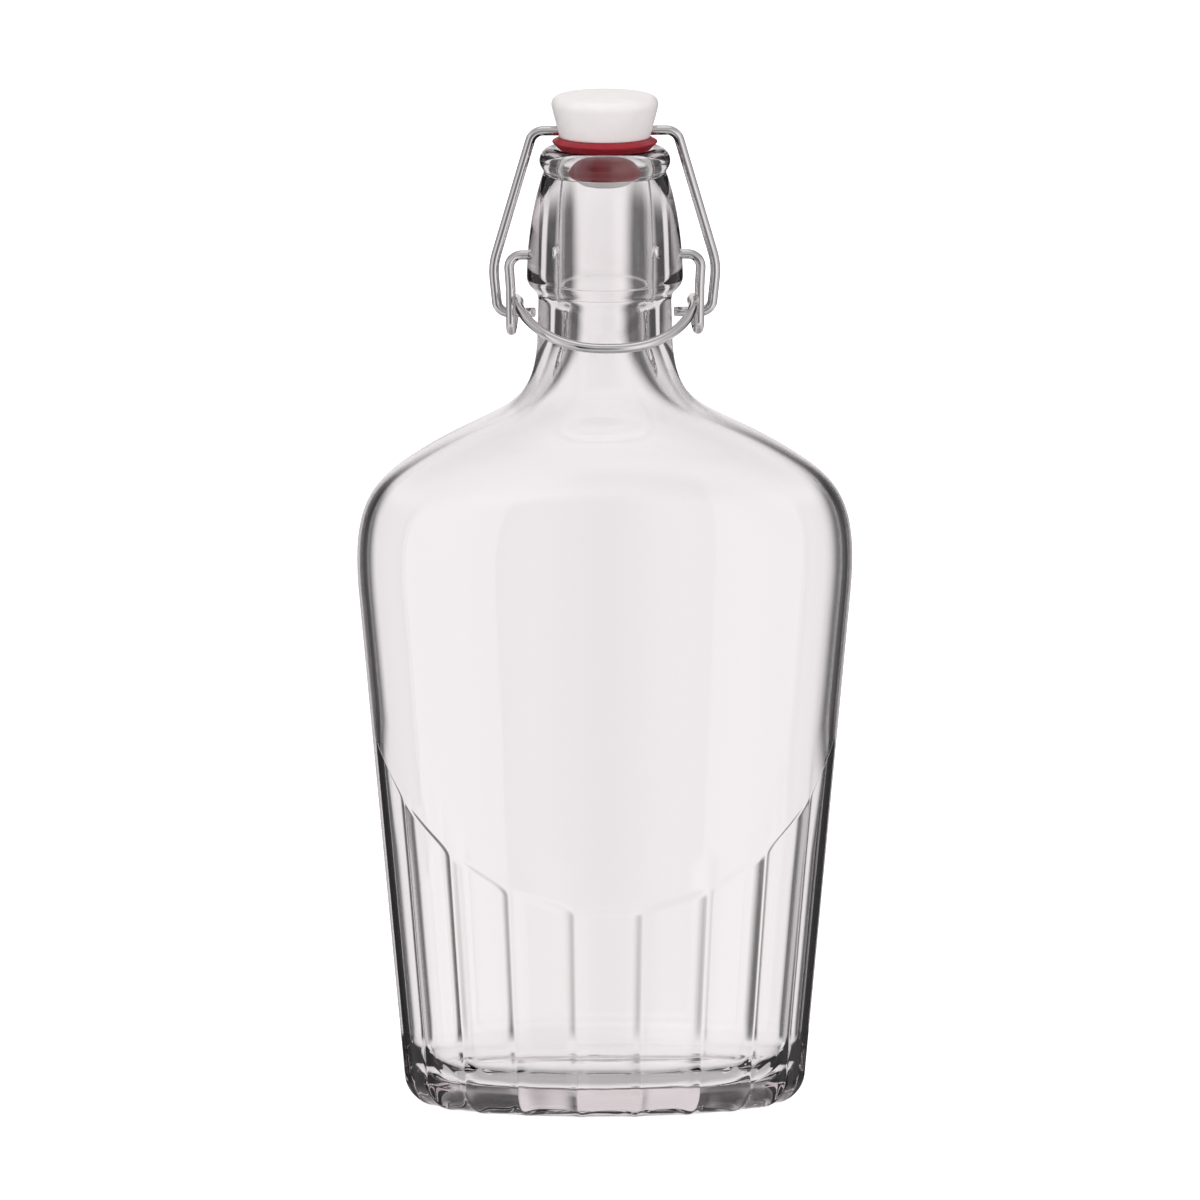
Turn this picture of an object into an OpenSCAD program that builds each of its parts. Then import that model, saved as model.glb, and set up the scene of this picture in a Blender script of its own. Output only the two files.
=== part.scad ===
// Flask-shaped swing-top bottle of half a litre.
// The front is the side of the wire lever's finger loop, at -Y. +Z is up, and the
// origin is the middle of the foot, on the surface that the bottle stands on.

/* [Body] */
// Width across the shoulder
body_w = 109.3; // [104:0.1:112]
// Depth of the shoulder, front to back
body_d = 61.5; // [58:0.1:64]
// Width of the foot, before its edge is rounded
foot_w = 87.4; // [82:0.2:90]
// Depth of the foot, before its edge is rounded
foot_d = 49; // [46:0.5:52]
// Radius of the rounded edge of the foot
heel_r = 7; // [5:0.5:8]
// Glass thickness of the body
wall = 2.2; // [1.8:0.1:3]
// Glass thickness under the inside floor
floor_t = 6; // [5:0.5:8]
// Radius between the inside floor and the wall
floor_r = 11; // [8:0.5:12]
// Height of the hollow under the foot
punt_h = 1.5; // [0.5:0.1:2.5]
// Width of the flat ring that the bottle stands on
foot_ring = 5; // [3:0.5:6]

/* [Flutes] */
// Depth of each scooped panel below its ridges
flute_d = 0.9; // [0.4:0.1:1.2]
// Turn from one ridge to the next, on the section scaled to a circle
flute_step = 18; // [18]
// Number of panels across the front
flute_n = 9; // [9]
// Height at which the panels would end in the middle of the front
flute_front_z = 48.5; // [40:0.5:55]
// Height at which the panels would end on the side
flute_side_z = 90; // [75:0.5:95]
// Length of the slope at the top of a panel
flute_fade = 3; // [2:0.5:5]

/* [Neck] */
// Radius of the neck at its foot
neck_r = 14.9; // [14.5:0.1:15.2]
// Radius of the bore under the stopper
bore_r = 9.7; // [9.5:0.1:9.9]
// Radius of the bore at its narrowest, below the ledge
throat_r = 8.2; // [7.8:0.1:8.8]
// Widest radius of the collar that carries the lever
collar_r = 17.25; // [16.9:0.05:17.3]
// Radius of the bead at the lip
lip_r = 14.45; // [14.2:0.05:14.6]
// Height of the top of the lip
lip_z = 213.6; // [213.6]

/* [Closure] */
// Diameter of both wires
wire_d = 2.2; // [2:0.1:2.3]
// Height of the lever's pivots in the collar
pivot_z = 189.7; // [189.7]
// Height of the bail's ends, closed
bail_z = 176.8; // [176.8]
// How far behind the lever's pivots the bail's ends sit, closed
over_centre = 0.8; // [0.8]
// Height of the bail's crossbar, closed
cross_z = 217.3; // [217.3]
// Gap all round a wire that turns in a hole
running_fit = 0.05; // [0.03:0.01:0.08]
// Radius of the stopper's head at its top edge
head_r = 11.85; // [11.4:0.05:12]
// Gap between the lip and the gasket
seat_gap = 0.25; // [0.2:0.05:0.3]

/* [Hidden] */

wire_r = wire_d / 2;
glass = [0.85, 0.9, 0.92, 0.35];
steel = [0.72, 0.73, 0.75];

// Smoothness of the body: columns in a panel and round the plain rest, rings in a curve
panel_cols = [-1, -0.8, -0.42, 0, 0.42, 0.8];
plain_step = 4.5;
curve_steps = 9;
$fn = 96;

// ---------- curves ----------

// A point on a cubic curve through p[0] and p[3], steered by p[1] and p[2]
function bezier(p, t) =
    pow(1 - t, 3) * p[0] + 3 * pow(1 - t, 2) * t * p[1]
    + 3 * (1 - t) * t * t * p[2] + pow(t, 3) * p[3];

// The points of a cubic curve, without its first
function curve(p, steps) = [for (i = [1 : steps]) bezier(p, i / steps)];

// A row of a loft is [height, half width, half depth]
w_scale = body_w / 109.3;
d_scale = body_d / 61.5;
function row(z, w, d) = [z, w * w_scale, d * d_scale];
function neck_row(z, r) = [z, r, r];

// The straight wall leans out from the foot to here, where the shoulder starts
wall_top = row(114.2, 54.26, 30.5);
function wall_row(z) = let (k = z / wall_top[0])
    [z, foot_w / 2 + k * (wall_top[1] - foot_w / 2), foot_d / 2 + k * (wall_top[2] - foot_d / 2)];

function inset(r, by) = [r[0], r[1] - by, r[2] - by];

// The shoulder bulges over the wall's top, then sweeps up into the neck
shoulder_mid = row(144.8, 42.74, 27.9);
neck_foot = neck_row(172, neck_r);
bulge = [wall_top, row(134.2, 56.13, 31.2), row(139.2, 51.4, 30.83), shoulder_mid];
sweep = [shoulder_mid, row(157.1, 23.64, 21.45), neck_row(153.4, neck_r + 0.5), neck_foot];
shoulder = concat(curve(bulge, curve_steps), curve(sweep, curve_steps), [neck_row(183, neck_r - 0.27)]);

// The point of the inside that lies square in from a row, th deep, where along is the way to the next row
function inside_row(r, along, th) =
    let (
        w = norm([along[0], along[1]]),
        d = norm([along[0], along[2]]),
        rise = th * along[1] / w)
    [r[0] + rise, r[1] - th * along[0] / w, r[2] + along[2] / along[0] * rise - th * d / along[0]];

// The way along a cubic curve at t
function heading(p, t) =
    (1 - t) * (1 - t) * (p[1] - p[0]) + 2 * (1 - t) * t * (p[2] - p[1]) + t * t * (p[3] - p[2]);

// The inside follows the outside a wall's thickness in, and more on the way to the neck
function inside_curve(p, th0, th1) = [for (i = [1 : curve_steps]) let (t = i / curve_steps)
    inside_row(bezier(p, t), heading(p, t), th0 + (th1 - th0) * pow(t, 4))];
in_top = inset(wall_top, wall);
in_shoulder = concat(
    inside_curve(bulge, wall, wall),
    inside_curve(sweep, wall, neck_r - throat_r + 0.5));

// ---------- body ----------

panel_span = flute_n * flute_step / 2;
plain_n = floor((360 - 2 * panel_span) / plain_step);

// Each column is [turn from the front, share of the panel's depth]
columns = concat(
    [for (i = [0 : flute_n - 1]) for (u = panel_cols)
        [-panel_span + (i + (u + 1) / 2) * flute_step, 1 - pow(abs(u), 4)]],
    [for (i = [0 : plain_n - 1]) [panel_span + i * (360 - 2 * panel_span) / plain_n, 0]]);

// The ridges' tops lie on a slanting plane, and a straight edge joins each to the next
function ridge_top(a) = flute_side_z - (flute_side_z - flute_front_z) * cos(a);
function panel_top(a) =
    abs(a) > panel_span || a > 180 ? ridge_top(panel_span) :
    let (
        i = floor((a + panel_span) / flute_step),
        a0 = i * flute_step - panel_span,
        k = (a - a0) / flute_step)
    (1 - k) * ridge_top(a0) + k * ridge_top(a0 + flute_step);

function ring_point(r, a, sunk) = [(r[1] - sunk) * sin(a), -(r[2] - sunk) * cos(a), r[0]];

// The rounded heel, from the flat ring up to the wall
heel = [for (i = [0 : 4]) let (a = 90 - i * 22.5)
    inset([heel_r * (1 - sin(a)), wall_row(heel_r)[1], wall_row(heel_r)[2]], heel_r * (1 - cos(a)))];
punt_edge = inset(heel[0], foot_ring);
punt = [for (k = [0.35, 0.7])
    [punt_h * (1 - pow(1 - k, 2)), punt_edge[1] * (1 - k), punt_edge[2] * (1 - k)]];

function fluted_column(c) = let (a = c[0], sunk = flute_d * c[1], top = panel_top(a))
    concat(
        [for (i = [1, 0]) ring_point(punt[i], a, 0)],
        [ring_point(punt_edge, a, 0)],
        [for (h = heel) ring_point(h, a, sunk)],
        [ring_point(wall_row(top - flute_fade), a, sunk)],
        [ring_point(wall_row(top - flute_fade / 3), a, sunk / 4)],
        [ring_point(wall_row(top), a, 0)],
        [ring_point(wall_top, a, 0)],
        [for (s = shoulder) ring_point(s, a, 0)]);

in_floor = [for (i = [0 : 3]) let (a = 90 - i * 30, r = wall_row(floor_t + floor_r))
    inset([floor_t + floor_r * (1 - sin(a)), r[1], r[2]], wall + floor_r * (1 - cos(a)))];
in_rows = concat(in_floor, [in_top], in_shoulder);

// A closed solid through columns of points, all with the same number of rows
module lofted(cols) {
    n = len(cols);
    m = len(cols[0]);
    points = [for (c = cols) for (p = c) p];
    sides = [for (i = [0 : n - 1]) for (j = [0 : m - 2])
        let (k = (i + 1) % n)
        each [[i * m + j, i * m + j + 1, k * m + j + 1], [i * m + j, k * m + j + 1, k * m + j]]];
    floor_face = [for (i = [0 : n - 1]) i * m];
    roof_face = [for (i = [n - 1 : -1 : 0]) i * m + m - 1];
    polyhedron(points, concat(sides, [floor_face, roof_face]));
}

// ---------- neck finish ----------

bead_r = 2.9;
lip_round = 1.8;
collar_foot = 180.4;
groove = [13.7, 207.7];
core_r = throat_r - 1;
collar = concat(
    [[core_r, collar_foot], [neck_r - 0.2, collar_foot]],
    curve([[neck_r - 0.2, collar_foot], [neck_r + 0.2, 182.2], [collar_r, 182.4], [collar_r, 185.1]], 5),
    curve([[collar_r, 185.1], [collar_r - 0.1, 190.3], [collar_r - 0.75, 199.3], groove], 7),
    [[groove[0], groove[1] + 2.5], [core_r, groove[1] + 2.5]]);

module neck_finish() {
    rotate_extrude() polygon(collar);
    // The bead at the lip, and the flat that the gasket sits on
    rotate_extrude() translate([lip_r - bead_r, lip_z - bead_r]) circle(bead_r, $fn = 48);
    translate([0, 0, groove[1]]) cylinder(h = lip_z - groove[1], r = lip_r - bead_r);
}

// What is taken out of the mouth's inner edge to round it
module lip_rounding() {
    rotate_extrude() difference() {
        translate([bore_r - 1, lip_z - lip_round]) square([lip_round + 1, lip_round + 1]);
        translate([bore_r + lip_round, lip_z - lip_round]) circle(lip_round, $fn = 32);
    }
}

dimple_in = 13.7;

module bottle() {
    color(glass) difference() {
        union() {
            lofted([for (c = columns) fluted_column(c)]);
            neck_finish();
        }
        lofted([for (i = [0 : 47]) [for (r = in_rows) ring_point(r, i * 7.5, 0)]]);
        // The throat, the ledge over it and the bore that the stopper hangs in
        translate([0, 0, 169]) cylinder(h = 20, r = throat_r);
        translate([0, 0, 178.8]) cylinder(h = 3, r1 = throat_r, r2 = bore_r);
        translate([0, 0, 181.8]) cylinder(h = 40, r = bore_r);
        lip_rounding();
        for (side = [-1, 1])
            translate([side * dimple_in, 0, pivot_z]) rotate([0, side * 90, 0])
                cylinder(h = 5, r = wire_r + running_fit, $fn = 48);
    }
}

// ---------- wires ----------

function unit(v) = v / norm(v);

// The bend at corner b of the run a, b, c, as points on an arc of radius r
function bend(a, b, c, r, steps) =
    let (
        u = unit(a - b),
        v = unit(c - b),
        half = acos(u * v) / 2,
        mid = b + unit(u + v) * r / sin(half),
        from = b + u * r / tan(half) - mid,
        to = b + v * r / tan(half) - mid,
        turn = 180 - 2 * half)
    [for (i = [0 : steps])
        mid + (sin((1 - i / steps) * turn) * from + sin(i / steps * turn) * to) / sin(turn)];

// A run of corners, each [point, bend radius], with its first and last points kept
function bent(run, steps) = concat(
    [run[0][0]],
    [for (i = [1 : len(run) - 2])
        each bend(run[i - 1][0], run[i][0], run[i + 1][0], run[i][1], steps)],
    [run[len(run) - 1][0]]);

// The sideways direction at each point of a path, carried along it without twist
function carried(path) = let (n = len(path))
    [for (i = 0, d = unit(path[1] - path[0]), s = unit(cross(d, [0.3, 0.9, 0.4]));
        i < n;
        i = i + 1,
        d = i < n - 1 ? unit(path[i + 1] - path[i - 1]) : unit(path[n - 1] - path[n - 2]),
        s = unit(s - (s * d) * d)) [d, s]];

// A round wire along a path, just thinner than the straight pins that it runs into
module wire(path, sides = 12) {
    frames = carried(path);
    rings = [for (i = [0 : len(path) - 1])
        let (d = frames[i][0], s = frames[i][1], t = cross(d, s))
        [for (k = [0 : sides - 1]) path[i]
            + (wire_r - 0.01) * (cos(k * 360 / sides) * s + sin(k * 360 / sides) * t)]];
    lofted([for (k = [0 : sides - 1]) [for (ring = rings) ring[k]]]);
}

// A straight length of wire along X, from one place to another
module pin(x0, x1) {
    translate([x0, 0, 0]) rotate([0, 90, 0]) cylinder(h = x1 - x0, r = wire_r, $fn = 48);
}

// Lever: each side goes from its pivot down, round the bail's end and forward into the loop.
// Here y is the distance in front of the pivots and z the height above them.
eye_half = 2.5;
eye_z = bail_z - pivot_z;
eye_front = eye_half - over_centre;
eye_back = -eye_half - over_centre;
eye_rise = 3;
lever_x = 21.3;
loop_start = [19, eye_front + 0.6, eye_z + eye_rise];
loop_half_w = 19.4;
loop_reach = 23.4;
loop_drop = 7.1;
loop_shape = 2 / 2.4;
loop_first = 10;
loop_steps = 15;

loop_half = [for (i = [0 : loop_steps])
    let (a = loop_first + i / loop_steps * (90 - loop_first), u = pow(sin(a), loop_shape))
    [loop_half_w * pow(max(cos(a), 0), loop_shape), eye_front + loop_reach * u,
        eye_z + eye_rise - loop_drop * pow(u, 1.8)]];

lever_side = concat(
    bent([
        [[18, 0, 0], 0],
        [[lever_x, 0, 0], 2.8],
        [[lever_x - 0.5, eye_front, -7], 6],
        [[lever_x - 0.6, eye_front, eye_z - 4], 2.45],
        [[lever_x - 1, eye_back, eye_z - 4], 2.45],
        [[lever_x - 1.8, eye_back, eye_z + eye_rise], 2.3],
        [loop_start, 5],
        [loop_half[0], 0]], 5),
    [for (i = [1 : loop_steps]) loop_half[i]]);

function forward(p) = [p[0], -p[1], p[2]];
function other_side(p) = [-p[0], p[1], p[2]];

module lever_wire() {
    n = len(lever_side);
    path = concat(lever_side, [for (i = [n - 2 : -1 : 0]) other_side(lever_side[i])]);
    color(steel) translate([0, 0, pivot_z]) {
        wire([for (p = path) forward(p)], 10);
        pin(14, 18.4);
        pin(-18.4, -14);
    }
}

// Bail: from one end, up one side, through the stopper and down the other side
bail_len = norm([over_centre, cross_z - bail_z]);
bail_lean = atan(over_centre / (cross_z - bail_z));
bail_end = 15.2;
bail_side = bent([
    [[21, 0, 0], 0],
    [[23.5, 0, 0], 2.6],
    [[24.6, 0, 10.5], 14],
    [[15.8, 0, bail_len], 3],
    [[12, 0, bail_len], 0]], 6);

module bail_wire() {
    color(steel) translate([0, over_centre, bail_z]) rotate([bail_lean, 0, 0]) {
        for (side = [0, 1]) mirror([side, 0, 0]) {
            wire(bail_side);
            pin(bail_end, 21.3);
        }
        translate([0, 0, bail_len]) pin(-12.3, 12.3);
    }
}

// ---------- stopper ----------

head_z = 215.9;
head_low_r = 10;
stem_r = 4;
knob_r = 6.4;
knob_z = [204.2, 206];
head_top_z = 223.8;

module stopper() {
    color("white") difference() {
        rotate_extrude() polygon(concat(
            [[0, knob_z[0]]],
            curve([[knob_r - 1, knob_z[0]], [knob_r - 0.4, knob_z[0]],
                [knob_r, knob_z[0] + 0.4], [knob_r, knob_z[0] + 1]], 4),
            [[knob_r, knob_z[1]], [stem_r, knob_z[1]], [stem_r, head_z], [head_low_r, head_z]],
            [[head_r, head_top_z - 0.8]],
            curve([[head_r, head_top_z - 0.8], [head_r + 0.1, head_top_z + 0.6],
                [head_r - 0.8, head_top_z + 1.2], [head_r - 2, head_top_z + 1.4]], 5),
            [[5, head_top_z + 1.9], [0, head_top_z + 2]]));
        translate([0, 0, cross_z]) rotate([0, 90, 0])
            cylinder(h = 30, r = wire_r + running_fit, center = true, $fn = 48);
    }
}

// The underside of the gasket's rim is a cone at 45 degrees over the mouth's rounded edge,
// and this is its height over its radius
seat = lip_z - bore_r - 2 * lip_round + sqrt(2) * (lip_round + seat_gap);
rim_r = 11.65;

// The plug hangs in the mouth, and the rim over it comes to a blunt edge
module gasket() {
    color([0.62, 0.1, 0.13]) rotate_extrude() polygon([
        [stem_r + 0.03, knob_z[1] + 0.03], [knob_r, knob_z[1] + 0.03],
        [8.5, seat + 8.2], [9.1, seat + 9.1],
        [rim_r - 0.15, seat + rim_r - 0.15], [rim_r, seat + rim_r], [rim_r - 0.1, seat + rim_r + 0.2],
        [head_low_r + 0.1, head_z - 0.03], [stem_r + 0.03, head_z - 0.03]]);
}

bottle();
lever_wire();
bail_wire();
stopper();
gasket();
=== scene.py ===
"""Looks of the swing-top flask: glass, drawn wire, moulded stopper and rubber gasket."""

import math

import bpy
import numpy as np
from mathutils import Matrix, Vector, noise


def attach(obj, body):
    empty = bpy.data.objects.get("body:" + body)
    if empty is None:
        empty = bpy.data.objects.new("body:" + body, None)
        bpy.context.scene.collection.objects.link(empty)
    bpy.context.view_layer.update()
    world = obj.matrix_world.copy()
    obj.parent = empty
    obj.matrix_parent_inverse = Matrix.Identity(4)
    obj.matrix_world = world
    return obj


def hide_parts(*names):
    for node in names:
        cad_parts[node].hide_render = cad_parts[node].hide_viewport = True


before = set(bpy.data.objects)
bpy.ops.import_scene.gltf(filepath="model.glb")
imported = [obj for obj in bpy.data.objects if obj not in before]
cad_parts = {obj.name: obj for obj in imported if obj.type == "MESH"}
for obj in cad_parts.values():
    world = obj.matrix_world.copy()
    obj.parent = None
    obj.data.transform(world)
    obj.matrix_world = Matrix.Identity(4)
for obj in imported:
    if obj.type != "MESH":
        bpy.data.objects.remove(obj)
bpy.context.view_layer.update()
MM = 0.001

# ---------- sizes, in millimetres, after the CAD part's ----------

FOOT_W, FOOT_D = 43.7, 24.5
WALL_TOP = (114.2, 54.26, 30.5)
SHOULDER_MID = (144.8, 42.74, 27.9)
WALL = 2.2
HEEL_R = 7.0
FLOOR_T, FLOOR_R = 6.0, 11.0
PUNT_H, FOOT_RING = 1.5, 5.0
FLUTE_D, FLUTE_STEP, FLUTE_N, FLUTE_FADE = 0.9, 18.0, 9, 3.0
FLUTE_FRONT_Z, FLUTE_SIDE_Z = 48.5, 90.0
NECK_R, BORE_R, THROAT_R, COLLAR_R = 14.9, 9.7, 8.2, 17.25
COLLAR_FOOT_Z, COLLAR_FULL_Z = 179.6, 185.1
GROOVE = (13.7, 207.7)
BEAD_X, BEAD_R, LIP_ROUND = 11.55, 2.9, 1.8
LIP_Z = 213.6
BORE_LOW_Z, THROAT_TOP_Z = 183.8, 177.8
WIRE_R, HOLE_R, DIMPLE_IN = 1.09, 1.15, 13.7
PIVOT_Z, BAIL_Z, CROSS_Z, OVER_CENTRE = 189.7, 176.8, 217.3, 0.8
LOOP_HALF_W, LOOP_REACH, LOOP_DROP, LOOP_SHAPE = 19.4, 23.4, 7.1, 2 / 2.4
EYE_HALF, EYE_RISE, LEVER_OUT = 2.5, 3.0, 21.3
KNOB_LOW, KNOB_TOP, HEAD_LOW, HEAD_TOP = 204.2, 206.0, 215.9, 223.8
KNOB_R, STEM_R = 6.4, 4.0
SEAT_GAP = 0.25
# The base's uneven inside, as waves of (height, cycles across, cycles in depth, start of the pattern)
RIPPLES = [(0.28, 0.09, 0.13, 3.1), (0.10, 0.31, 0.42, 7.7)]

# Sides of a turned piece
COLUMNS = 112


def curve(p, steps):
    """Points of a cubic through p[0] and p[3], steered by the two between, without its first."""
    p = np.array(p, float)
    t = np.arange(1, steps + 1)[:, None] / steps
    return (1 - t) ** 3 * p[0] + 3 * (1 - t) ** 2 * t * p[1] + 3 * (1 - t) * t * t * p[2] + t**3 * p[3]


def arc(centre, radius, start, end, steps):
    """Points on a circle in the (radius, height) plane, angles in degrees, both ends in."""
    a = np.radians(np.linspace(start, end, steps))
    return np.column_stack([centre[0] + radius * np.cos(a), centre[1] + radius * np.sin(a)])


def smooth(mesh, angle=35):
    """Smooth shading, but for the edges that turn by more than that angle."""
    mesh.shade_smooth()
    mesh.set_sharp_from_angle(angle=math.radians(angle))


def mesh_object(name, points, faces, smooth_angle=35):
    mesh = bpy.data.meshes.new(name)
    mesh.from_pydata([tuple(p) for p in points], [], faces)
    mesh.validate()
    smooth(mesh, smooth_angle)
    obj = bpy.data.objects.new(name, mesh)
    bpy.context.scene.collection.objects.link(obj)
    return obj


def ring_faces(rings, columns):
    """Quads between rings of the same number of points, and fans onto a middle point at both ends."""
    faces = []
    for j in range(rings - 1):
        for i in range(columns):
            k = (i + 1) % columns
            faces.append((j * columns + i, j * columns + k, (j + 1) * columns + k, (j + 1) * columns + i))
    first, last = rings * columns, rings * columns + 1
    for i in range(columns):
        k = (i + 1) % columns
        faces.append((first, k, i))
        faces.append((last, (rings - 1) * columns + i, (rings - 1) * columns + k))
    return faces


# ---------- bottle ----------


def wall_row(z):
    """The straight wall at a height, or at each of several: [height, half width, half depth]."""
    k = z / WALL_TOP[0]
    return (z, FOOT_W + k * (WALL_TOP[1] - FOOT_W), FOOT_D + k * (WALL_TOP[2] - FOOT_D))


def neck_rows(profile):
    """Rows [height, half width, half depth] of a round part, from [radius, height]."""
    return np.array([[z, r, r] for r, z in profile])


def inset(row, by):
    return np.array([row[0], row[1] - by, row[2] - by])


def inside_rows(p, th0, th1, steps):
    """Rows of the inside, square in from the cubic curve p by a thickness that grows from th0 to th1."""
    p = np.array(p, float)
    t = np.arange(1, steps + 1)[:, None] / steps
    along = (1 - t) ** 2 * (p[1] - p[0]) + 2 * (1 - t) * t * (p[2] - p[1]) + t * t * (p[3] - p[2])
    th = (th0 + (th1 - th0) * t**4)[:, 0]
    slant = np.hypot(along[:, 0], along[:, 1])
    rise = th * along[:, 1] / slant
    w_in = th * along[:, 0] / slant
    d_in = th * np.hypot(along[:, 0], along[:, 2]) / along[:, 0] - along[:, 2] / along[:, 0] * rise
    return curve(p, steps) + np.column_stack([rise, -w_in, -d_in])


NECK_FOOT = (172.0, NECK_R, NECK_R)
BULGE = [WALL_TOP, (134.2, 56.13, 31.2), (139.2, 51.4, 30.83), SHOULDER_MID]
SWEEP = [SHOULDER_MID, (157.1, 23.64, 21.45), (153.4, NECK_R + 0.5, NECK_R + 0.5), NECK_FOOT]


def ridge_top(a):
    """Height where the flutes end, at a turn of a degrees from the front."""
    return FLUTE_SIDE_Z - (FLUTE_SIDE_Z - FLUTE_FRONT_Z) * math.cos(math.radians(a))


PANEL_SPAN = FLUTE_N * FLUTE_STEP / 2
PANEL_COLUMNS = 18
PLAIN_COLUMNS = 132
# The ridge's rounding as a share of half a flute, and how flat the flute's bottom is
RIDGE_ROUND, FLUTE_FLAT = 0.08, 5


def bottle_columns():
    """Each column is (turn from the front, share of the panel's depth, height of the panel's top)."""
    columns = []
    for i in range(FLUTE_N):
        a0 = -PANEL_SPAN + i * FLUTE_STEP
        z0, z1 = ridge_top(a0), ridge_top(a0 + FLUTE_STEP)
        for k in range(PANEL_COLUMNS):
            u = -math.cos(math.pi * k / PANEL_COLUMNS)
            gap = math.hypot(1 - abs(u), RIDGE_ROUND) - RIDGE_ROUND
            share = (u + 1) / 2
            columns.append((a0 + share * FLUTE_STEP, 1 - (1 - gap) ** FLUTE_FLAT, z0 + share * (z1 - z0)))
    for k in range(PLAIN_COLUMNS):
        a = PANEL_SPAN + k * (360 - 2 * PANEL_SPAN) / PLAIN_COLUMNS
        columns.append((a, 0.0, ridge_top(PANEL_SPAN)))
    return columns


def bottle_mesh():
    """One closed mesh: up the outside from under the foot, over the lip and down the inside."""
    columns = bottle_columns()
    a = np.radians([c[0] for c in columns])
    depth = FLUTE_D * np.array([c[1] for c in columns])
    top = np.array([c[2] for c in columns])
    sin_a, cos_a = np.sin(a), np.cos(a)
    rings = []

    def ring(row, sunk=0.0):
        """A ring at row, drawn in by sunk."""
        rings.append(np.column_stack([
            (row[1] - sunk) * sin_a, -(row[2] - sunk) * cos_a, np.broadcast_to(row[0], a.shape)]))

    foot = wall_row(HEEL_R)
    heel_turns = np.radians(np.linspace(90, 0, 12))
    heel = [inset(np.array([HEEL_R * (1 - math.sin(t)), foot[1], foot[2]]), HEEL_R * (1 - math.cos(t)))
            for t in heel_turns]
    edge = inset(heel[0], FOOT_RING)
    for k in (0.97, 0.8, 0.6, 0.4, 0.25, 0.12, 0.05):
        ring((PUNT_H * (1 - (1 - k) ** 2), edge[1] * (1 - k), edge[2] * (1 - k)))
    ring(edge)
    ring(inset(heel[0], 0.5 * FOOT_RING))
    for row in heel:
        ring(row, depth)
    for share in (0.25, 0.5, 0.75):
        z = HEEL_R + share * (top - FLUTE_FADE - HEEL_R)
        ring(wall_row(z), depth)
    for k in np.linspace(0, 1, 10):
        z = top - FLUTE_FADE * (1 - k)
        ring(wall_row(z), depth * (1 + math.cos(math.pi * k)) / 2)
    for share in (0.3, 0.6, 0.85):
        z = top + share * (WALL_TOP[0] - top)
        ring(wall_row(z))
    ring(WALL_TOP)
    for row in curve(BULGE, 26):
        ring(row)
    for row in curve(SWEEP, 30):
        ring(row)
    collar_foot, collar_full = (NECK_R - 0.2, COLLAR_FOOT_Z), (COLLAR_R, COLLAR_FULL_Z)
    bore_low, throat_top = (BORE_R, BORE_LOW_Z), (THROAT_R, THROAT_TOP_Z)
    neck_and_lip = [
        # The neck, the collar's rounded foot, its long taper and the groove under the bead
        [(NECK_R - 0.1, 175.5), collar_foot],
        curve([collar_foot, (NECK_R - 0.1, 182.6), (COLLAR_R, 182.1), collar_full], 16),
        curve([collar_full, (COLLAR_R - 0.1, 190.3), (COLLAR_R - 0.75, 199.3), GROOVE], 18),
        [(GROOVE[0] - 0.18, GROOVE[1] + 0.08), (GROOVE[0] - 0.22, GROOVE[1] + 0.25)],
        # The bead, the lip's inner round, the bore and the throat below it
        arc((BEAD_X, LIP_Z - BEAD_R), BEAD_R, -42, 86, 20),
        arc((BORE_R + LIP_ROUND, LIP_Z - LIP_ROUND), LIP_ROUND, 92, 180, 12),
        [(BORE_R, z) for z in (208.0, 201.0, 194.0, 188.0, BORE_LOW_Z)],
        curve([bore_low, (BORE_R, 181.4), (THROAT_R + 0.2, 180.2), throat_top], 12),
        [(THROAT_R, 175.3)],
    ]
    for part in neck_and_lip:
        for row in neck_rows(part):
            ring(row)
    for row in inside_rows(SWEEP, WALL, NECK_R - THROAT_R, 26)[::-1]:
        ring(row)
    for row in inside_rows(BULGE, WALL, WALL, 24)[::-1]:
        ring(row)
    ring(inset(WALL_TOP, WALL))
    for z in (112, 90, 70, 50, 32, FLOOR_T + FLOOR_R + 0.5):
        ring(inset(wall_row(z), WALL))
    floor_wall = wall_row(FLOOR_T + FLOOR_R)
    floor_start = len(rings)
    for t in np.radians(np.linspace(0, 90, 12)):
        ring(inset((FLOOR_T + FLOOR_R * (1 - math.sin(t)), floor_wall[1], floor_wall[2]),
                   WALL + FLOOR_R * (1 - math.cos(t))))
    floor_edge = inset((FLOOR_T, floor_wall[1], floor_wall[2]), WALL + FLOOR_R)
    for k in (0.88, 0.74, 0.58, 0.42, 0.26, 0.12, 0.03):
        ring((FLOOR_T, floor_edge[1] * k, floor_edge[2] * k))
    points = np.vstack([*rings, [[0, 0, PUNT_H], [0, 0, FLOOR_T]]])
    n_rings, n = len(rings), len(columns)
    # The chilled inside of the base is never quite even; the last point is its middle
    for index in [*range(floor_start * n, n_rings * n), n_rings * n + 1]:
        x, y, z = points[index]
        ease = (FLOOR_T + FLOOR_R - z) / FLOOR_R
        for height, across, deep, start in RIPPLES:
            points[index][2] += height * ease * noise.noise(Vector((x * across, y * deep, start)))
    faces = [tuple(reversed(f)) for f in ring_faces(n_rings, n)]
    return mesh_object("glass_bottle", points * MM, faces)


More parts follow.
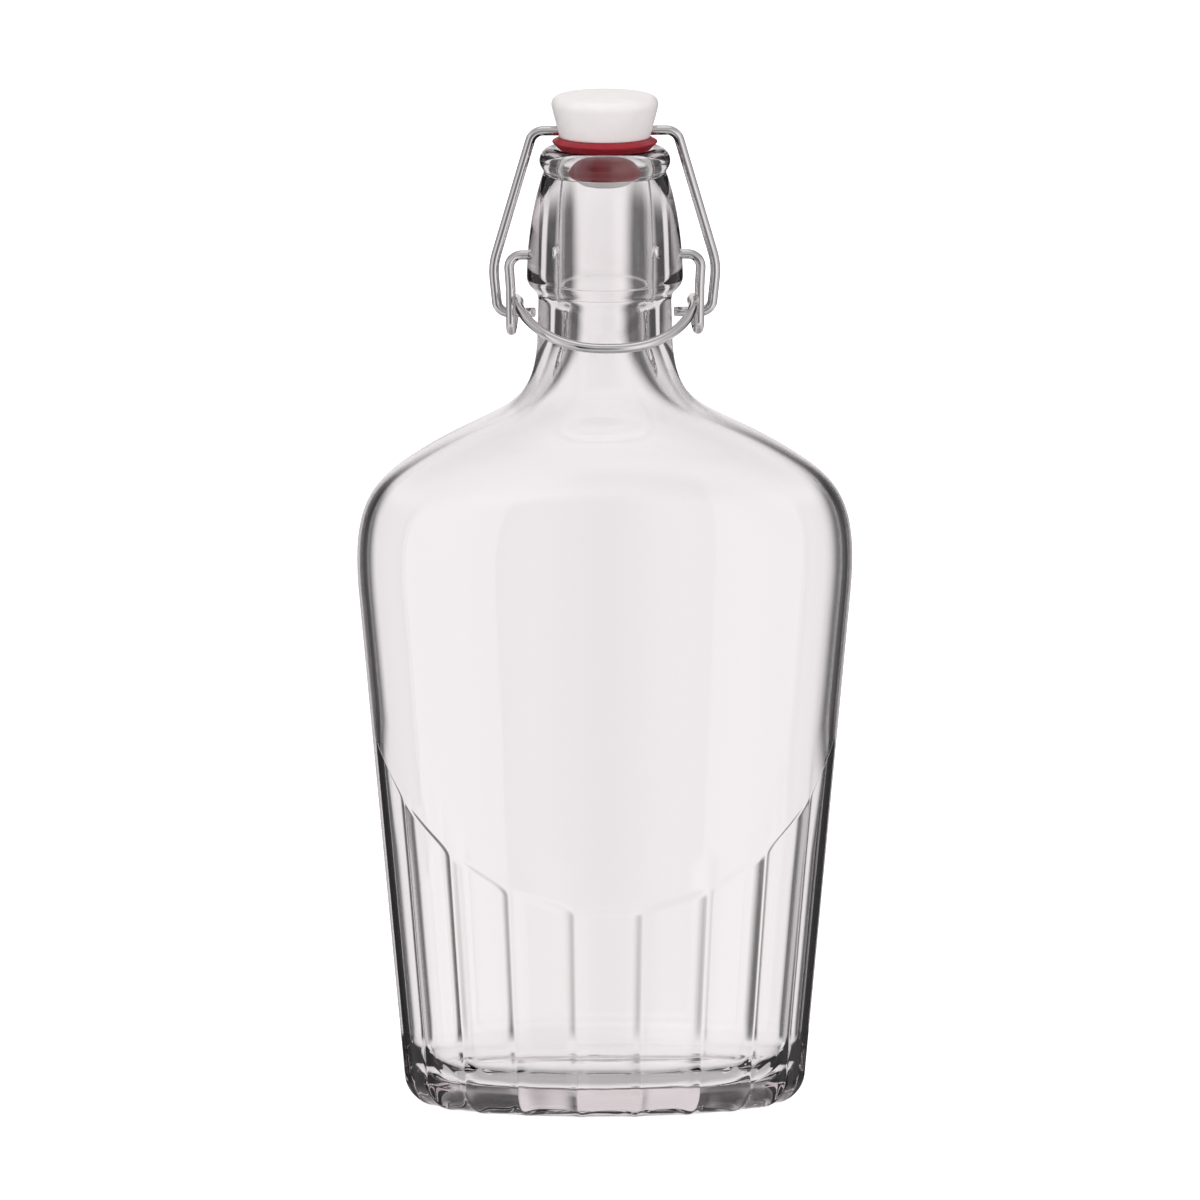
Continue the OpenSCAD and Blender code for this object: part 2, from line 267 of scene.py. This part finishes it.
def drilled(obj, ends):
    """obj with a round hole for a wire along each straight line in ends, in millimetres."""
    cutters = []
    sides = 40
    for start, end in ends:
        start, end = Vector(start) * MM, Vector(end) * MM
        along = (end - start).normalized()
        side = along.orthogonal().normalized()
        up = along.cross(side)
        points = [base + HOLE_R * MM * (math.cos(t) * side + math.sin(t) * up)
                  for base in (start, end)
                  for t in [2 * math.pi * i / sides for i in range(sides)]]
        faces = [(i, (i + 1) % sides, sides + (i + 1) % sides, sides + i) for i in range(sides)]
        faces += [tuple(range(sides - 1, -1, -1)), tuple(range(sides, 2 * sides))]
        cutter = mesh_object("cutter", points, faces)
        cutters.append(cutter)
        modifier = obj.modifiers.new("hole", "BOOLEAN")
        modifier.operation = "DIFFERENCE"
        modifier.solver = "EXACT"
        modifier.object = cutter
    bpy.context.view_layer.update()
    evaluated = obj.evaluated_get(bpy.context.evaluated_depsgraph_get())
    mesh = bpy.data.meshes.new_from_object(evaluated)
    obj.modifiers.clear()
    obj.data = mesh
    for cutter in cutters:
        bpy.data.objects.remove(cutter)
    smooth(mesh)
    return obj


# ---------- wires ----------


def unit(v):
    return v / np.linalg.norm(v)


def bend(a, b, c, r):
    """The corner b of a run a, b, c as points on an arc of radius r."""
    u, v = unit(a - b), unit(c - b)
    half = math.acos(float(u @ v)) / 2
    mid = b + unit(u + v) * r / math.sin(half)
    start, end = b + u * r / math.tan(half) - mid, b + v * r / math.tan(half) - mid
    turn = math.pi - 2 * half
    steps = max(3, int(math.degrees(turn) / 5))
    weights = [(math.sin((1 - i / steps) * turn), math.sin(i / steps * turn)) for i in range(steps + 1)]
    return [mid + (before * start + after * end) / math.sin(turn) for before, after in weights]


def bent(run):
    """A run of (point, bend radius), with its first and last points kept."""
    points = [np.array(p, float) for p, _ in run]
    path = [points[0]]
    for i in range(1, len(run) - 1):
        path += bend(points[i - 1], points[i], points[i + 1], run[i][1])
    return path + [points[-1]]


def wire(name, path, sides=22, chamfer=0.25):
    """A round wire along a path in millimetres, with eased ends and a UV map of (around, along)."""
    path = [p for i, p in enumerate(path) if i == 0 or np.linalg.norm(p - path[i - 1]) > 1e-4]
    dense = [path[0]]
    for p, q in zip(path, path[1:]):
        pieces = max(1, int(np.linalg.norm(q - p) / 1.5))
        dense += [p + (q - p) * k / pieces for k in range(1, pieces + 1)]
    path = np.array(dense)
    step = np.linalg.norm(np.diff(path, axis=0), axis=1)
    along = np.concatenate([[0], np.cumsum(step)])
    tangent = [unit(path[min(i + 1, len(path) - 1)] - path[max(i - 1, 0)]) for i in range(len(path))]
    side = unit(np.cross(tangent[0], [0.3, 0.9, 0.4]))
    rings, runs = [], []
    for i, (p, d) in enumerate(zip(path, tangent)):
        side = unit(side - (side @ d) * d)
        other = np.cross(d, side)
        sections = [(0.0, 1.0)]
        if i == 0:
            sections = [(0.0, 0.62), (0.06, 0.82), (chamfer, 1.0)]
        if i == len(path) - 1:
            sections = [(-chamfer, 1.0), (-0.06, 0.82), (0.0, 0.62)]
        for shift, scale in sections:
            t = np.linspace(0, 2 * math.pi, sides, endpoint=False)[:, None]
            rings.append(p + shift * d + WIRE_R * scale * (np.cos(t) * side + np.sin(t) * other))
            runs.append(along[i] + shift)
    points = np.vstack(rings + [[path[0]], [path[-1]]])
    faces = [tuple(reversed(f)) for f in ring_faces(len(rings), sides)]
    obj = mesh_object(name, points * MM, faces, 50)
    uv = obj.data.uv_layers.new(name="wire")
    for poly in obj.data.polygons:
        corners = [obj.data.loops[i].vertex_index for i in poly.loop_indices]
        around = [v % sides if v < len(rings) * sides else 0 for v in corners]
        wrap = max(around) - min(around) > sides / 2
        for loop, v, turn in zip(poly.loop_indices, corners, around):
            ring_index = min(v // sides, len(rings) - 1)
            turn = sides if wrap and turn == 0 else turn
            uv.data[loop].uv = (turn / sides, runs[ring_index] * MM * 10)
    return obj


def both_sides(half):
    """A path that ends in the middle, and its mirror image back out again."""
    return half + [p * [-1, 1, 1] for p in half[-2::-1]]


def lever_path():
    """The lever in millimetres: a pivot, the eye round the bail's end, the finger loop and back."""
    # Measured from the pivots, with y forwards
    eye_z, x = BAIL_Z - PIVOT_Z, LEVER_OUT
    front, back, high = EYE_HALF - OVER_CENTRE, -EYE_HALF - OVER_CENTRE, eye_z + EYE_RISE
    loop = []
    for i in range(41):
        a = math.radians(10 + i / 40 * 80)
        u = math.sin(a) ** LOOP_SHAPE
        out = LOOP_HALF_W * max(math.cos(a), 0) ** LOOP_SHAPE
        loop.append(np.array([out, front + LOOP_REACH * u, high - LOOP_DROP * u**1.8]))
    half = bent([
        ((DIMPLE_IN + 0.3, 0, 0), 0), ((x, 0, 0), 2.8), ((x - 0.5, front, -7), 6),
        ((x - 0.6, front, eye_z - 4), 2.45), ((x - 1, back, eye_z - 4), 2.45), ((x - 1.8, back, high), 2.3),
        ((19, front + 0.6, high), 5), (loop[0], 0)])
    return [p * [1, -1, 1] + [0, 0, PIVOT_Z] for p in both_sides(half + loop[1:])]


def bail_path():
    """The bail in millimetres: an end in the lever's eye, up to the crossbar and down the other side."""
    length = math.hypot(OVER_CENTRE, CROSS_Z - BAIL_Z)
    lean = math.atan2(OVER_CENTRE, CROSS_Z - BAIL_Z)
    half = bent([
        ((15.2, 0, 0), 0), ((23.5, 0, 0), 2.6), ((24.6, 0, 10.5), 14), ((15.8, 0, length), 3),
        ((0, 0, length), 0)])
    c, s = math.cos(lean), math.sin(lean)
    return [np.array([p[0], OVER_CENTRE - s * p[2], BAIL_Z + c * p[2]]) for p in both_sides(half)]


# ---------- turned pieces ----------


def turned_rings(profile):
    """A ring of points about the Z axis for each [radius, height] of the profile."""
    t = np.linspace(0, 2 * math.pi, COLUMNS, endpoint=False)
    return [np.column_stack([r * np.sin(t), -r * np.cos(t), np.full(COLUMNS, z)]) for r, z in profile]


def turned_solid(name, profile):
    """A solid turned about the Z axis from [radius, height] points, its two ends on the axis left out."""
    ends = [[0, 0, profile[0][1]], [0, 0, profile[-1][1]]]
    faces = [tuple(reversed(f)) for f in ring_faces(len(profile), COLUMNS)]
    return mesh_object(name, np.vstack([*turned_rings(profile), ends]) * MM, faces)


def stopper_profile():
    """From the knob's underside out, up the stem, round the head's rim and in over its low dome."""
    low, top, head, rim = KNOB_LOW, KNOB_TOP, HEAD_LOW, HEAD_TOP
    profile = [[2.0, low], [4.4, low]]
    profile += list(curve([(4.4, low), (5.9, low), (KNOB_R, low + 0.4), (KNOB_R, low + 1.0)], 8))
    profile += [[KNOB_R, top - 0.3], [KNOB_R - 0.2, top], [STEM_R, top], [STEM_R, head], [9.7, head]]
    profile += list(curve([(9.7, head), (9.95, head), (10.05, head + 0.15), (10.1, head + 0.45)], 4))
    profile += [[10.65, head + 2.6], [11.2, head + 4.6], [11.75, rim - 1.1]]
    brow = [(11.75, rim - 1.1), (12.0, rim + 0.2), (11.3, rim + 1.2), (9.85, rim + 1.42)]
    profile += list(curve(brow, 10))
    profile += [[8, rim + 1.58], [6, rim + 1.75], [4, rim + 1.87], [2, rim + 1.95], [0.6, rim + 1.98]]
    return profile


def gasket_profile():
    """A plug below and a cone at 45 degrees above, whose height less its radius is seat."""
    seat = LIP_Z - BORE_R - 2 * LIP_ROUND + math.sqrt(2) * (LIP_ROUND + SEAT_GAP)
    hair = 0.03
    hole, low, top = STEM_R + hair, KNOB_TOP + hair, HEAD_LOW - hair
    profile = [[hole, low], [5.9, low], [6.4, KNOB_TOP + 0.3], [8.35, seat + 7.9]]
    waist = [(8.35, seat + 7.9), (8.55, seat + 8.3), (8.75, seat + 8.7), (9.1, seat + 9.1)]
    profile += list(curve(waist, 4))
    profile += [[11.3, seat + 11.3]]
    edge = [(11.3, seat + 11.3), (11.6, seat + 11.6), (11.66, seat + 11.7), (11.5, seat + 11.9)]
    profile += list(curve(edge, 6))
    profile += [[10.15, top], [hole, top]]
    return profile


def turned_ring(name, profile):
    """A ring turned about the Z axis from a closed outline of [radius, height] points."""
    n = len(profile)
    faces = []
    for j in range(n):
        below, above = j * COLUMNS, ((j + 1) % n) * COLUMNS
        for i in range(COLUMNS):
            k = (i + 1) % COLUMNS
            faces.append((below + k, above + k, above + i, below + i))
    return mesh_object(name, np.vstack(turned_rings(profile)) * MM, faces, 40)


# ---------- node helpers ----------


class Nodes:
    """A short way to write a node tree."""

    def __init__(self, tree):
        self.tree = tree
        tree.nodes.clear()

    def add(self, kind, inputs=None, **settings):
        node = self.tree.nodes.new(kind)
        for key, value in settings.items():
            setattr(node, key, value)
        for key, value in (inputs or {}).items():
            socket = node.inputs[key]
            if isinstance(value, bpy.types.NodeSocket):
                self.tree.links.new(value, socket)
            else:
                socket.default_value = value
        return node

    def math(self, operation, a, b=0.0, c=0.0):
        return self.add("ShaderNodeMath", {0: a, 1: b, 2: c}, operation=operation).outputs[0]

    def ramp(self, value, start, end, low=0.0, high=1.0, kind="SMOOTHSTEP"):
        return self.add("ShaderNodeMapRange", {0: value, 1: start, 2: end, 3: low, 4: high},
                        interpolation_type=kind).outputs[0]

    def link(self, output, socket):
        self.tree.links.new(output, socket)


def material(name):
    made = bpy.data.materials.new(name)
    made.use_nodes = True
    return made, Nodes(made.node_tree)


def object_noise(n, scale, detail=2.0, stretch=(1, 1, 1)):
    """Noise over the piece in its own metres, with stretch as cycles along X, Y and Z."""
    where = n.add("ShaderNodeTexCoord").outputs["Object"]
    mapped = n.add("ShaderNodeMapping", {"Vector": where, "Scale": stretch}).outputs[0]
    made = n.add("ShaderNodeTexNoise", {"Vector": mapped, "Scale": scale, "Detail": detail})
    return made.outputs[0]


def blend(n, share, low, high):
    """A colour from low to high as share goes from 0 to 1."""
    return n.add("ShaderNodeMix", {0: share, 6: (*low, 1), 7: (*high, 1)}, data_type="RGBA").outputs[2]


def glass_material():
    """Clear glass, faintly uneven, that darkens a little and warms over a long way through it."""
    made, n = material("clear_flint_glass")
    broad = object_noise(n, 55, 1.0)
    fine = object_noise(n, 420, 2.0, (1, 1, 0.35))
    height = n.math("MULTIPLY_ADD", fine, 0.10, broad)
    bump = n.add("ShaderNodeBump", {"Height": height, "Strength": 0.25, "Distance": 0.00006})
    rough = n.ramp(object_noise(n, 140, 3.0), 0.35, 0.8, 0.0, 0.02)
    shader = n.add("ShaderNodeBsdfPrincipled", {
        "Base Color": (1.0, 1.0, 1.0, 1), "Roughness": rough, "IOR": 1.5,
        "Transmission Weight": 1.0, "Normal": bump.outputs[0]})
    absorb = n.add("ShaderNodeVolumeAbsorption", {"Color": (0.87, 0.843, 0.852, 1), "Density": 48.0})
    out = n.add("ShaderNodeOutputMaterial")
    n.link(shader.outputs[0], out.inputs["Surface"])
    n.link(absorb.outputs[0], out.inputs["Volume"])
    return made


def steel_material():
    """Bright wire with faint lines along it from the drawing die."""
    made, n = material("drawn_spring_steel")
    where = n.add("ShaderNodeTexCoord").outputs["UV"]
    lines = n.add("ShaderNodeMapping", {"Vector": where, "Scale": (9.0, 0.6, 1.0)}).outputs[0]
    drawn = n.add("ShaderNodeTexNoise", {"Vector": lines, "Scale": 6.0, "Detail": 3.0}).outputs[0]
    clouds = object_noise(n, 600, 3.0)
    tone = n.math("MULTIPLY_ADD", clouds, 0.35, n.math("MULTIPLY", drawn, 0.65))
    colour = blend(n, tone, (0.54, 0.54, 0.545), (0.76, 0.755, 0.75))
    rough = n.ramp(tone, 0.3, 0.75, 0.11, 0.05)
    bump = n.add("ShaderNodeBump", {"Height": drawn, "Strength": 0.15, "Distance": 0.00002})
    shader = n.add("ShaderNodeBsdfPrincipled", {
        "Base Color": colour, "Metallic": 1.0, "Roughness": rough, "Normal": bump.outputs[0]})
    out = n.add("ShaderNodeOutputMaterial")
    n.link(shader.outputs[0], out.inputs["Surface"])
    return made


def stopper_material():
    """White plastic with a soft sheen and a fine mottle."""
    made, n = material("white_moulded_stopper")
    mottle = object_noise(n, 260, 4.0)
    grain = object_noise(n, 2600, 2.0)
    colour = blend(n, n.ramp(mottle, 0.3, 0.7), (0.93, 0.905, 0.895), (0.97, 0.95, 0.94))
    rough = n.ramp(mottle, 0.3, 0.7, 0.30, 0.42)
    bump = n.add("ShaderNodeBump", {"Height": grain, "Strength": 0.25, "Distance": 0.00002})
    shader = n.add("ShaderNodeBsdfPrincipled", {
        "Base Color": colour, "Roughness": rough, "IOR": 1.5, "Subsurface Weight": 0.15,
        "Subsurface Radius": (0.9, 0.7, 0.6), "Subsurface Scale": 0.0012, "Normal": bump.outputs[0]})
    out = n.add("ShaderNodeOutputMaterial")
    n.link(shader.outputs[0], out.inputs["Surface"])
    return made


def rubber_material():
    """Red rubber, duller than the plastic and finely grained."""
    made, n = material("red_seal_rubber")
    mottle = object_noise(n, 500, 4.0)
    grain = object_noise(n, 4200, 2.0)
    colour = blend(n, n.ramp(mottle, 0.3, 0.7), (0.29, 0.004, 0.013), (0.38, 0.006, 0.020))
    rough = n.ramp(mottle, 0.3, 0.7, 0.36, 0.52)
    bump = n.add("ShaderNodeBump", {"Height": grain, "Strength": 0.4, "Distance": 0.00003})
    shader = n.add("ShaderNodeBsdfPrincipled", {
        "Base Color": colour, "Roughness": rough, "IOR": 1.5, "Normal": bump.outputs[0]})
    out = n.add("ShaderNodeOutputMaterial")
    n.link(shader.outputs[0], out.inputs["Surface"])
    return made


# ---------- pieces ----------

STEEL = steel_material()


def add_piece(obj, made, body, node):
    """Gives the piece its material and puts it on its body in place of its CAD node."""
    obj.data.materials.clear()
    obj.data.materials.append(made)
    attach(obj, body)
    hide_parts(node)


dimples = [((DIMPLE_IN * s, 0, PIVOT_Z), (20 * s, 0, PIVOT_Z)) for s in (-1, 1)]
add_piece(drilled(bottle_mesh(), dimples), glass_material(), "bottle", "bottle")
add_piece(wire("lever_loop", lever_path()), STEEL, "lever", "lever_wire")
add_piece(wire("bail_hoop", bail_path()), STEEL, "bail", "bail_wire")
cross_hole = [((-15, 0, CROSS_Z), (15, 0, CROSS_Z))]
stopper = drilled(turned_solid("stopper_body", stopper_profile()), cross_hole)
add_piece(stopper, stopper_material(), "stopper", "stopper")
add_piece(turned_ring("seal_ring", gasket_profile()), rubber_material(), "stopper", "gasket")

# ---------- stage ----------


def band(n, value, low, high, edge_low, edge_high):
    """1 between low and high, falling softly to 0 outside them."""
    rising, falling = n.ramp(value, low - edge_low, low), n.ramp(value, high, high + edge_high, 1.0, 0.0)
    return n.math("MULTIPLY", rising, falling)


def steps(n, value, first, changes):
    """A level that starts at first and gains each (start, end, change) as value passes from start to end."""
    total = first
    for start, end, change in changes:
        total = n.math("ADD", total, n.ramp(value, start, end, 0.0, change))
    return total


def studio_light(n):
    """Brightness by direction: a screen behind with a dark gap on each side, and light all round."""
    split = n.add("ShaderNodeSeparateXYZ", {0: n.add("ShaderNodeTexCoord").outputs["Generated"]})
    turn = n.math("DEGREES", n.math("ARCTAN2", split.outputs[0], split.outputs[1]))
    rise = n.math("DEGREES", n.math("ARCSINE", split.outputs[2]))
    # All round at the bottle's own height, by turn: 0 is behind it, negative is left, 180 is in front
    level = steps(n, turn, 0.35, [
        (-178, -150, -0.28), (-104, -92, 0.48), (-58, -44, -0.49), (-20, -8, 0.86),
        (8, 19, -0.86), (42, 58, 0.44), (75, 100, 0.20), (110, 140, 0.50), (155, 180, -0.85)])
    # A sharp-edged soft box in front on the left, brighter towards its left side
    box = (-149.0, -102.6)
    inside = band(n, turn, *box, 0.8, 0.8)
    level = n.math("MULTIPLY_ADD", inside, n.ramp(turn, *box, 0.45, 1.15, "LINEAR"), level)
    # Above and below that height it turns to the ceiling and to the white table, by rise
    beyond = steps(n, rise, 0.50, [(-60, -30, 0.40), (22, 46, -0.32), (58, 82, 0.62)])
    near = band(n, rise, -20.0, 14.0, 12.0, 16.0)
    return n.add("ShaderNodeMix", {0: near, 2: beyond, 3: level}).outputs[0]


def build_world():
    """The camera sees a plain pale surround, and everything else is lit by studio_light."""
    world = bpy.data.worlds.new("studio")
    bpy.context.scene.world = world
    world.use_nodes = True
    n = Nodes(world.node_tree)
    level = studio_light(n)
    seen = n.add("ShaderNodeLightPath").outputs["Is Camera Ray"]
    strength = n.add("ShaderNodeMix", {0: seen, 2: level, 3: 1.0})
    warm_white = (1.0, 0.962, 0.97, 1)
    background = n.add("ShaderNodeBackground", {"Color": warm_white, "Strength": strength.outputs[0]})
    out = n.add("ShaderNodeOutputWorld")
    n.link(background.outputs[0], out.inputs["Surface"])


def build_floor():
    """A pale floor that only the camera sees, so the glass takes its light from the surround."""
    side, drop = 6.0, -0.0002
    points = [(-side, -side, drop), (side, -side, drop), (side, side, drop), (-side, side, drop)]
    floor = mesh_object("studio_floor", points, [(0, 1, 2, 3)])
    made, n = material("pale_floor")
    seen = n.add("ShaderNodeLightPath").outputs["Is Camera Ray"]
    through = n.add("ShaderNodeBsdfTransparent")
    lit = n.add("ShaderNodeEmission", {"Color": (1, 1, 1, 1), "Strength": 0.80})
    matt = n.add("ShaderNodeBsdfDiffuse", {"Color": (0.9, 0.9, 0.9, 1)})
    shown = n.add("ShaderNodeAddShader", {0: lit.outputs[0], 1: matt.outputs[0]})
    both = n.add("ShaderNodeMixShader", {0: seen, 1: through.outputs[0], 2: shown.outputs[0]})
    out = n.add("ShaderNodeOutputMaterial")
    n.link(both.outputs[0], out.inputs["Surface"])
    floor.data.materials.append(made)


def build_key_light():
    """A broad soft light from above in front, kept out of the gloss and the glass."""
    light = bpy.data.lights.new("key", "AREA")
    light.size = 1.0
    light.energy = 6.0
    key = bpy.data.objects.new("key", light)
    bpy.context.scene.collection.objects.link(key)
    key.location = (-0.35, -0.9, 1.15)
    key.rotation_euler = (Vector((0, 0, 0.2)) - key.location).to_track_quat("-Z", "Y").to_euler()
    key.visible_glossy = False
    key.visible_transmission = False


build_world()
build_floor()
build_key_light()

# ---------- camera ----------

# Metres: far away with a long lens, so there is almost no perspective
CAMERA_TURN, CAMERA_AWAY, CAMERA_HEIGHT = math.radians(-2.3), 6.0, 1.1238
AIM = Vector((-0.00106, 0, 0.1126))
camera = bpy.data.objects.new("camera", bpy.data.cameras.new("camera"))
bpy.context.scene.collection.objects.link(camera)
camera.data.sensor_width = 36.0
camera.data.lens = 827.8
camera.location = (
    math.sin(CAMERA_TURN) * CAMERA_AWAY, -math.cos(CAMERA_TURN) * CAMERA_AWAY, CAMERA_HEIGHT)
camera.rotation_euler = (AIM - camera.location).to_track_quat("-Z", "Y").to_euler()
camera.data.clip_start, camera.data.clip_end = 0.05, 50.0
bpy.context.scene.camera = camera
bpy.context.scene.view_settings.view_transform = "Standard"
